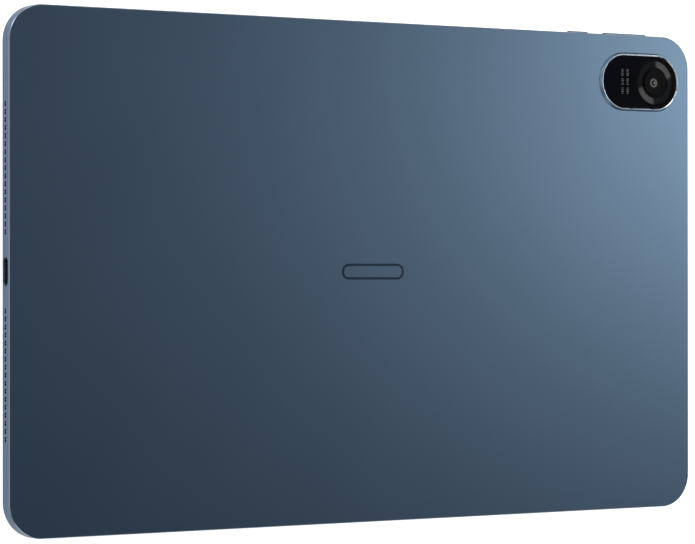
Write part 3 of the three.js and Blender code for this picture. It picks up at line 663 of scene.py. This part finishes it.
def coverTools():
    bm = bmesh.new()
    deep = -cover["innerWall"] - past
    # Speaker holes, two of every three places along each group.
    for side in (-1, 1):
        for group in (-grille["middle"], grille["middle"]):
            for i in range(grille["pairs"]):
                pair = group + (i - (grille["pairs"] - 1) / 2) * grille["pitch"]
                for y in (pair - grille["pitch"] / 6, pair + grille["pitch"] / 6):
                    r = grille["radius"]
                    wide = r + grille["countersink"]
                    levels = [(r, deep), (r, -grille["countersink"]), (wide, 0.0), (wide, past)]
                    turn = ontoShortWall(side, y, cover["portLevel"])
                    # The hole walls and countersinks take the painted shade finish (2).
                    skin(bm, pillLoops(grille["stretch"], levels, 4), looks=[2, 2, 2], turn=turn)
    # Socket opening; its long side lies along Y.
    r = port["height"] / 2 + port["gap"]
    c = port["mouthChamfer"]
    span = port["length"] - port["height"]
    levels = [(r, deep), (r, -c), (r + c, 0.0), (r + c, past)]
    turn = ontoShortWall(-1, 0.0, cover["portLevel"]) @ Matrix.Rotation(math.pi / 2, 4, "Z")
    skin(bm, pillLoops(span, levels, 12), turn=turn)
    # Key slots, with a wider pocket behind for each key's flange.
    r = keys["height"] / 2 + keys["gap"]
    wide = r + keys["flangeMargin"]
    for x, length, feet in (keys["power"], keys["volume"]):
        levels = [(wide, deep), (wide, -keys["shoulder"]), (r, -keys["shoulder"])]
        levels += [(r, -keys["lipBreak"]), (r + keys["lipBreak"], 0.0), (r + keys["lipBreak"], past)]
        skin(bm, pillLoops(length - keys["height"], levels, 12), turn=ontoTopWall(x, keys["level"]))
    # Microphone hole.
    levels = [(microphone["radius"], deep), (microphone["radius"], past)]
    turn = ontoTopWall(microphone["x"], cover["portLevel"])
    skin(bm, pillLoops(0.0, levels, 6), turn=turn)
    # Camera opening.
    turn = Matrix.Translation((island["x"], island["y"], 0.0))
    levels = [(island["hole"], cover["bayFloor"] - past), (island["hole"], body["thickness"] + past)]
    skin(bm, pillLoops(island["span"], levels), turn=turn)
    # Screw holes behind the boards.
    levels = [(screws["holeRadius"], cover["bayFloor"] - past), (screws["holeRadius"], screws["holeEnd"])]
    for turn in screwPlaces():
        skin(bm, pillLoops(0.0, levels, 6), turn=turn)
    # Groove for the emblem.
    span = emblem["length"] - emblem["height"]
    outer = emblem["height"] / 2 + fit
    inner = emblem["height"] / 2 - emblem["stroke"] - fit
    floor = body["thickness"] - emblem["depth"]
    top = body["thickness"] + past
    skin(bm, pillLoops(span, [(outer, floor), (outer, top), (inner, top), (inner, floor)]), closed=True)
    return bm


def buildCover():
    t = body["thickness"]
    c = cover["chamfer"]
    e = cover["edgeBreak"]
    slant = e * 0.7  # the part of it along the chamfer, down and across
    rim = cover["rimLevel"]
    levels = [
        (cover["bayFloor"], cover["innerWall"]),
        (cover["ledgeLevel"], cover["innerWall"]),
        (cover["ledgeLevel"], cover["rimWall"]),
        (rim, cover["rimWall"]),
    ]
    levels += rounding((rim, cover["rimRound"]), (rim + cover["rimRound"], 0.0), 10)
    plain = len(levels)
    levels += [(t - c - e, 0.0), (t - c + slant, slant), (t - slant, c - slant), (t, c + e)]
    # The bottom lip and lower rounding take the painted shade finish (3), the chamfer the cut edge (1).
    looks = [0, 0, 0] + [3] * (plain - 4) + [0, 1, 1, 1]
    bm = bmesh.new()
    skin(bm, bodyLoops(levels), looks=looks)
    addPiece(
        "cover_shell",
        bm,
        "tablet",
        "anodised_metal",
        ["anodised_metal", "cutEdge", "paintedHoleShade", "rimShade"],
        ["rear_cover"],
        coverTools(),
    )


def buildBosses():
    bm = bmesh.new()
    outer, inner = screws["bossRadius"], screws["holeRadius"]
    top = cover["bayFloor"]
    low = top - screws["bossHeight"]
    edge = screws["bossBreak"]
    levels = [(outer, low + edge), (outer, top), (inner, top), (inner, low + edge)]
    levels += [(inner + edge, low), (outer - edge, low)]
    for turn in screwPlaces():
        skin(bm, pillLoops(0.0, levels, 8), closed=True, turn=turn)
    addPiece("screw_bosses", bm, "tablet", "anodised_metal")


buildCover()
buildBosses()
print("rear cover done")

# Emblem, let into its groove.


def buildEmblem():
    span = emblem["length"] - emblem["height"]
    outer = emblem["height"] / 2
    inner = outer - emblem["stroke"]
    top = body["thickness"] - emblem["depth"] + fit / 2 + emblem["thickness"]
    low = top - emblem["thickness"]
    edge = emblem["edgeBreak"]
    levels = [(outer, low), (outer, top - edge), (outer - edge, top), (inner + edge, top)]
    levels += [(inner, top - edge), (inner, low)]
    bm = bmesh.new()
    skin(bm, pillLoops(span, levels), closed=True)
    addPiece("emblem_outline", bm, "tablet", "emblem_ink", replaces=["back_emblem"])


buildEmblem()

# Camera island


def atIsland(x=None):
    return Matrix.Translation((island["x"] if x is None else x, island["y"], 0.0))


def buildRing():
    low = body["thickness"] + fit
    top = island["top"]
    inner = island["radius"] - island["lip"]
    crest = island["radius"] - island["slopeRun"]
    run, drop, edge = island["innerRun"], island["innerDrop"], island["innerBreak"]
    # Each level with the finish of the band above it: 0 satin, 1 polished, 2 black as painted shade inside
    # the ring, 3 painted shade on the outer wall.
    bands = [
        ((island["skirt"], island["skirtEnd"]), 0),
        ((island["skirt"], low), 0),
        ((island["radius"], low), 3),
        ((island["radius"], top - island["slopeDrop"]), 0),
    ]
    start = (crest + island["crestRun"], top - island["crestDrop"])
    bands += [(point, 0) for point in rounding(start, (crest - island["crestRun"], top), 4)]
    bands += [
        ((inner + run + edge, top), 1),
        ((inner + run, top - 0.01), 1),
        ((inner + 0.03, top - drop), 1),
        ((inner, top - drop - edge), 0),
        # Inside the ring, under the glass, black stands in for shade: painted shade.
        ((inner, island["glassTop"] - fit), 2),
        ((inner, island["seatLevel"]), 2),
        ((island["seat"], island["seatLevel"]), 2),
        ((island["seat"], island["skirtEnd"]), 2),
    ]
    levels = [level for level, look in bands]
    looks = [look for level, look in bands]
    bm = bmesh.new()
    skin(bm, pillLoops(island["span"], levels, 48), True, looks, atIsland())
    looks = ["ringMetal", "polished_metal", "baffleBlack", "rimShade"]
    addPiece("island_ring", bm, "tablet", "polished_metal", looks, ["camera_ring"])


def buildIslandGlass():
    r = island["glassRadius"]
    top = island["glassTop"]
    edge = island["glassRound"]
    levels = [(r, island["seatLevel"] + fit)]
    levels += rounding((r, top - edge), (r - edge, top), 4)
    bm = bmesh.new()
    skin(bm, pillLoops(island["span"], levels, 48), turn=atIsland())
    addPiece("island_glass", bm, "tablet", "black_glass", replaces=["camera_glass"])


trim = {
    "outer": 8.0,
    "inner": 5.5,
    "low": 6.8,
    "top": 7.1,
    "edgeBreak": 0.08,
    "slopeRun": 0.25,
    "slopeDrop": 0.15,
}


def buildTrim():
    levels = [
        (trim["outer"], trim["low"]),
        (trim["outer"], trim["top"] - trim["edgeBreak"]),
        (trim["outer"] - trim["edgeBreak"], trim["top"]),
        (trim["inner"] + trim["slopeRun"], trim["top"]),
        (trim["inner"], trim["top"] - trim["slopeDrop"]),
        (trim["inner"], trim["low"]),
    ]
    bm = bmesh.new()
    skin(bm, pillLoops(0.0, levels, 32), closed=True, turn=atIsland(lensAxis["x"]))
    addPiece("lens_trim", bm, "tablet", "trim_metal", replaces=["camera_trim_ring"])


barrel = {
    "radius": 4.4,
    "top": 6.8,
    "seat": 6.5,
    "lens": 1.7,
    "carrier": 9.6,
    "carrierLow": 5.25,
    "carrierTop": 5.55,
    "side": 8.8,
    "sideLow": 3.4,
    "sideCorner": 0.6,
    "edgeBreak": 0.1,
    "rim": 0.5,
    "steps": 5,
    "stepPitch": 0.42,
    "stepSlope": 0.06,
    "stepDrop": 0.05,
}


def buildBarrel():
    low, top = barrel["carrierLow"], barrel["top"]
    bm = bmesh.new()
    plate = [(barrel["carrier"], low), (barrel["carrier"], barrel["carrierTop"])]
    skin(bm, pillLoops(island["span"], plate), turn=atIsland())
    side = barrel["side"]
    box = [loop(side, side, barrel["sideCorner"], z, 0.0, 4) for z in (barrel["sideLow"], low)]
    skin(bm, box, turn=atIsland(lensAxis["x"]))
    r = barrel["radius"]
    edge = barrel["edgeBreak"]
    levels = [(r, barrel["carrierTop"]), (r, top - edge), (r - edge, top), (r - barrel["rim"], top)]
    # Rings that step down towards the lens.
    for i in range(barrel["steps"]):
        ring = r - barrel["rim"] - i * barrel["stepPitch"]
        level = top - barrel["stepDrop"] * (i + 1)
        levels += [(ring, level), (ring - barrel["stepPitch"] + barrel["stepSlope"], level)]
    levels += [(barrel["lens"] + fit, barrel["seat"])]
    skin(bm, pillLoops(0.0, levels, 16), turn=atIsland(lensAxis["x"]))
    addPiece("camera_barrel", bm, "tablet", "black_plastic", ["baffleBlack"], ["camera_module"])


lens = {"rim": 0.12, "rimBreak": 0.03, "eye": 0.95, "eyeHeight": 0.23, "pole": 0.02, "steps": 12}


def buildLens():
    # A flat rim round a domed eye.
    r, low = barrel["lens"], barrel["seat"] + fit
    rimTop = low + lens["rim"]
    levels = [(r, low), (r, rimTop - lens["rimBreak"]), (r - lens["rimBreak"], rimTop)]
    eye, height = lens["eye"], lens["eyeHeight"]
    ball = (eye * eye + height * height) / (2 * height)  # radius of the dome's sphere
    widest = math.asin(eye / ball)
    for i in range(lens["steps"]):
        angle = widest * (1 - i / lens["steps"])
        levels.append((ball * math.sin(angle), rimTop + height - ball * (1 - math.cos(angle))))
    levels.append((lens["pole"], rimTop + height))
    bm = bmesh.new()
    skin(bm, pillLoops(0.0, levels, 10), turn=atIsland(lensAxis["x"]))
    addPiece("lens_dome", bm, "tablet", "lens_glass", replaces=["camera_lens"], sharp=12)


buildRing()
buildIslandGlass()
buildTrim()
buildBarrel()
buildLens()
print("camera island done")

# Generic measuring ticks printed on the island's glass.

ticks = {
    "rows": (107.8, 110.1),
    "first": 65.5,
    "pitch": 0.66,
    "count": 14,
    "group": 5,  # the last place of each group stays empty
    "wide": 0.26,
    "long": 1.1,
    "shortEvery": 3,
    "shortShare": 0.7,
    "round": 0.1,
    "thickness": 0.01,
}


def buildTicks():
    bm = bmesh.new()
    top = island["glassTop"]
    for row in ticks["rows"]:
        for i in range(ticks["count"]):
            if (i + 1) % ticks["group"] == 0:
                continue
            long = ticks["long"] * (1.0 if i % ticks["shortEvery"] else ticks["shortShare"])
            turn = Matrix.Translation((row, ticks["first"] + i * ticks["pitch"], 0.0))
            faces = (top, top + ticks["thickness"])
            levels = [loop(long, ticks["wide"], ticks["round"], z, 0.0, 2) for z in faces]
            skin(bm, levels, turn=turn)
    addPiece("printed_ticks", bm, "tablet", "black_glass", ["markInk"])


buildTicks()

# Front glass and its plastic frame

front = {
    "thickness": 0.75,
    "inset": 1.15,
    "edge": 0.45,
    "gap": 0.1,  # between the glass and the frame round it
    "lip": 0.3,
    "lipLevel": 0.35,
    "lipRound": 0.2,
    "wallOuter": 1.5,  # the frame's wall and ledge, as insets from the outline
    "wallTop": 2.5,
    "ledgeInner": 2.6,
    "ledgeLevel": 0.8,
}


def buildFront():
    levels = rounding((0.0, front["inset"] + front["edge"]), (front["edge"], front["inset"]), 10)
    levels += [(front["thickness"], front["inset"])]
    bm = bmesh.new()
    skin(bm, bodyLoops(levels))
    addPiece("screen_sheet", bm, "tablet", "black_glass", ["screenGlass"], ["front_glass"])
    pocket = front["inset"] - front["gap"]
    outer = pocket - front["lip"]
    lipTop = cover["rimLevel"] - fit
    low = front["lipLevel"]
    edge = front["lipRound"]
    wall, ledge = front["wallOuter"], front["ledgeInner"]
    levels = rounding((low, outer + edge), (low + edge, outer), 4)
    levels += [(lipTop, outer), (lipTop, wall), (front["wallTop"], wall), (front["wallTop"], ledge)]
    levels += [(front["ledgeLevel"], ledge), (front["ledgeLevel"], pocket), (low, pocket)]
    bm = bmesh.new()
    skin(bm, bodyLoops(levels), closed=True)
    addPiece("screen_frame", bm, "tablet", "black_plastic", replaces=["display_frame"])


buildFront()
print("front done")

# Keys


def buildKey(name, place, bodyName, node):
    x, length, feet = place
    r = keys["height"] / 2
    wide = r + keys["flangeMargin"]
    back = -keys["shoulder"] - keys["flangeGap"]
    proud = keys["proud"]
    levels = [(wide, back - keys["flange"]), (wide, back), (r, back)]
    levels += rounding((r, proud - keys["edge"]), (r - keys["edge"], proud), 5)
    bm = bmesh.new()
    turn = ontoTopWall(x, keys["level"])
    skin(bm, pillLoops(length - keys["height"], levels, 12), turn=turn)
    footLow = back - keys["flange"] - keys["foot"]
    for offset in feet:
        pad = [(keys["footRadius"], footLow), (keys["footRadius"], back - keys["flange"])]
        skin(bm, pillLoops(0.0, pad, 6), turn=turn @ Matrix.Translation((offset, 0.0, 0.0)))
    addPiece(name, bm, bodyName, "anodised_metal", replaces=[node])


buildKey("power_button", keys["power"], "power_key", "power_key")
buildKey("volume_bar", keys["volume"], "volume_key", "volume_key")
print("keys done")

# Socket

tongue = {"plug": 1.2, "overlap": 0.2, "length": 4.9, "width": 6.7, "thickness": 0.7, "edge": 0.15}
contacts = {
    "count": 12,
    "pitch": 0.5,
    "width": 0.26,
    "thickness": 0.03,
    "round": 0.01,
    "start": 0.1,  # from the plug
    "end": 0.5,  # short of the tip
}


def buildPort():
    turn = ontoShortWall(-1, 0.0, cover["portLevel"]) @ Matrix.Rotation(math.pi / 2, 4, "Z")
    r = port["height"] / 2
    span = port["length"] - port["height"]
    back = -port["recess"] - port["depth"]
    lip = -port["recess"]
    wall = port["wall"]
    edge = port["edgeBreak"]
    levels = [(r, back), (r, lip - edge), (r - edge, lip), (r - wall + edge, lip)]
    levels += [(r - wall, lip - edge), (r - wall, back + wall)]
    bm = bmesh.new()
    skin(bm, pillLoops(span, levels, 12), turn=turn)
    addPiece("port_sleeve", bm, "tablet", "steel", ["portSteelPaintedShade"], ["usb_port"])
    bm = bmesh.new()
    r -= wall + fit
    low = back + wall + fit
    start = low + tongue["plug"]
    skin(bm, pillLoops(span, [(r, low), (r, start)], 12), turn=turn)
    end = start + tongue["length"]
    width, thickness, edge = tongue["width"], tongue["thickness"], tongue["edge"]
    tip = [(start - tongue["overlap"], 0.0), (end - edge, 0.0), (end, edge)]
    skin(bm, [loop(width, thickness, edge, z, inset, 3) for z, inset in tip], turn=turn)
    addPiece("port_tongue", bm, "tablet", "black_plastic", ["baffleBlack"], ["usb_tongue"])
    bm = bmesh.new()
    ends = (start + contacts["start"], end - contacts["end"])
    pad = [loop(contacts["width"], contacts["thickness"], contacts["round"], z, 0.0, 1) for z in ends]
    for face in (-1, 1):
        for i in range(contacts["count"]):
            x = (i - (contacts["count"] - 1) / 2) * contacts["pitch"]
            place = Matrix.Translation((x, face * thickness / 2, 0.0))
            skin(bm, pad, turn=turn @ place)
    addPiece("port_contacts", bm, "tablet", "steel", ["contactGold"])


buildPort()
print("socket done")

# Finishes of the carried-over solids, by their slots

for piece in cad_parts.values():
    for place in piece.material_slots:
        place.material = finishes[place.material.name]
print("solids finished:", len(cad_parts))

# Studio

studio = {
    "floorSize": 8000.0,
    "floorCorner": 50.0,
    "floorLevels": (-5.0, -0.05),
    "floorColour": tone(0.86, 0.87, 0.88),
    "floorPaler": tone(0.88, 0.89, 0.90),
    "floorGlow": 0.7,
    "world": 0.07,
    "worldColour": tone(0.65, 0.62, 1.0),
}
# Each light stands at a distance in the direction of its angle, azimuth and elevation, from the
# middle of the tablet. Its power is in watts.
lights = {
    "key_light": {
        "angle": (12.0, 34.0),
        "distance": 750.0,
        "size": 190.0,
        "power": 2.62,
        "colour": (1.0, 1.0, 0.9),
        "shadow": False,
    },
    "camera_side_light": {"angle": (180.0, 27.0), "distance": 1800.0, "size": 2000.0, "power": 10.5},
    "corner_light": {"angle": (135.0, 20.0), "distance": 1600.0, "size": 380.0, "power": 7.0},
    "upper_side_light": {"angle": (90.0, 30.0), "distance": 1600.0, "size": 900.0, "power": 10.8},
    "far_side_light": {"angle": (-45.0, 16.0), "distance": 1800.0, "size": 900.0, "power": 2.5},
    "lower_side_light": {"angle": (-110.0, 22.0), "distance": 1800.0, "size": 1300.0, "power": 9.0},
}


def buildStudio():
    graph = Graph("floor_paper")
    grain = graph.noise(1.2, 3.0)
    paper = graph.finish({
        "Base Color": graph.mix(grain, studio["floorColour"], studio["floorPaler"]),
        "Roughness": 0.85 + (grain - 0.5) * 0.1,
        "Emission Color": tone(1.0, 1.0, 1.0),
        "Emission Strength": studio["floorGlow"],
    })
    finishes["paper"] = paper
    bm = bmesh.new()
    size = studio["floorSize"]
    skin(bm, [loop(size, size, studio["floorCorner"], z, 0.0, 2) for z in studio["floorLevels"]])
    floor = meshObject("studio_floor", bm, ["paper"])

    world = bpy.data.worlds.new("studio")
    scene.world = world
    world.use_nodes = True
    tree = world.node_tree
    sky = tree.nodes["Background"]
    sky.inputs["Color"].default_value = studio["worldColour"]
    sky.inputs["Strength"].default_value = studio["world"]
    # Past the edge of the floor there is a plain white backdrop that gives no light.
    backdrop = tree.nodes.new("ShaderNodeBackground")
    either = tree.nodes.new("ShaderNodeMixShader")
    seen = tree.nodes.new("ShaderNodeLightPath").outputs["Is Camera Ray"]
    for wire, place in ((seen, 0), (sky.outputs[0], 1), (backdrop.outputs[0], 2)):
        tree.links.new(wire, either.inputs[place])
    backdrop.inputs["Color"].default_value = studio["floorColour"]
    tree.links.new(either.outputs[0], tree.nodes["World Output"].inputs["Surface"])
    for name, values in lights.items():
        addLight(name, **values)


def addLight(name, angle, distance, size, power, colour=(1.0, 1.0, 1.0), shadow=True):
    azimuth, elevation = (math.radians(a) for a in angle)
    flat = math.cos(elevation)
    way = Vector((flat * math.cos(azimuth), flat * math.sin(azimuth), math.sin(elevation)))
    light = bpy.data.lights.new(name, "AREA")
    light.shape = "DISK"
    light.size = size * mm
    light.energy = power
    light.color = colour
    light.use_shadow = shadow
    lamp = bpy.data.objects.new(name, light)
    lamp.location = way * distance * mm
    lamp.rotation_euler = way.to_track_quat("Z", "Y").to_euler()
    scene.collection.objects.link(lamp)


buildStudio()
scene.view_settings.view_transform = "Standard"
print("studio done")

# Camera

view = {
    "place": (-551.85, -1.62, 876.86),
    "towards": (0.528365, 0.00145, -0.849021),
    "lens": 153.37,
    "filmWidth": 36.0,
    "roll": -0.035,
}


def buildCamera():
    optics = bpy.data.cameras.new("view")
    optics.sensor_width = view["filmWidth"]
    optics.lens = view["lens"]
    optics.clip_start = 0.01
    optics.clip_end = 100.0
    camera = bpy.data.objects.new("view", optics)
    back = -Vector(view["towards"]).normalized()
    right = Vector((0.0, 1.0, 0.0)).cross(back).normalized()
    up = back.cross(right)
    turn = Matrix((right, up, back)).transposed().to_4x4()
    turn = turn @ Matrix.Rotation(math.radians(view["roll"]), 4, "Z")
    camera.matrix_world = Matrix.Translation(Vector(view["place"]) * mm) @ turn
    scene.collection.objects.link(camera)
    scene.camera = camera


buildCamera()
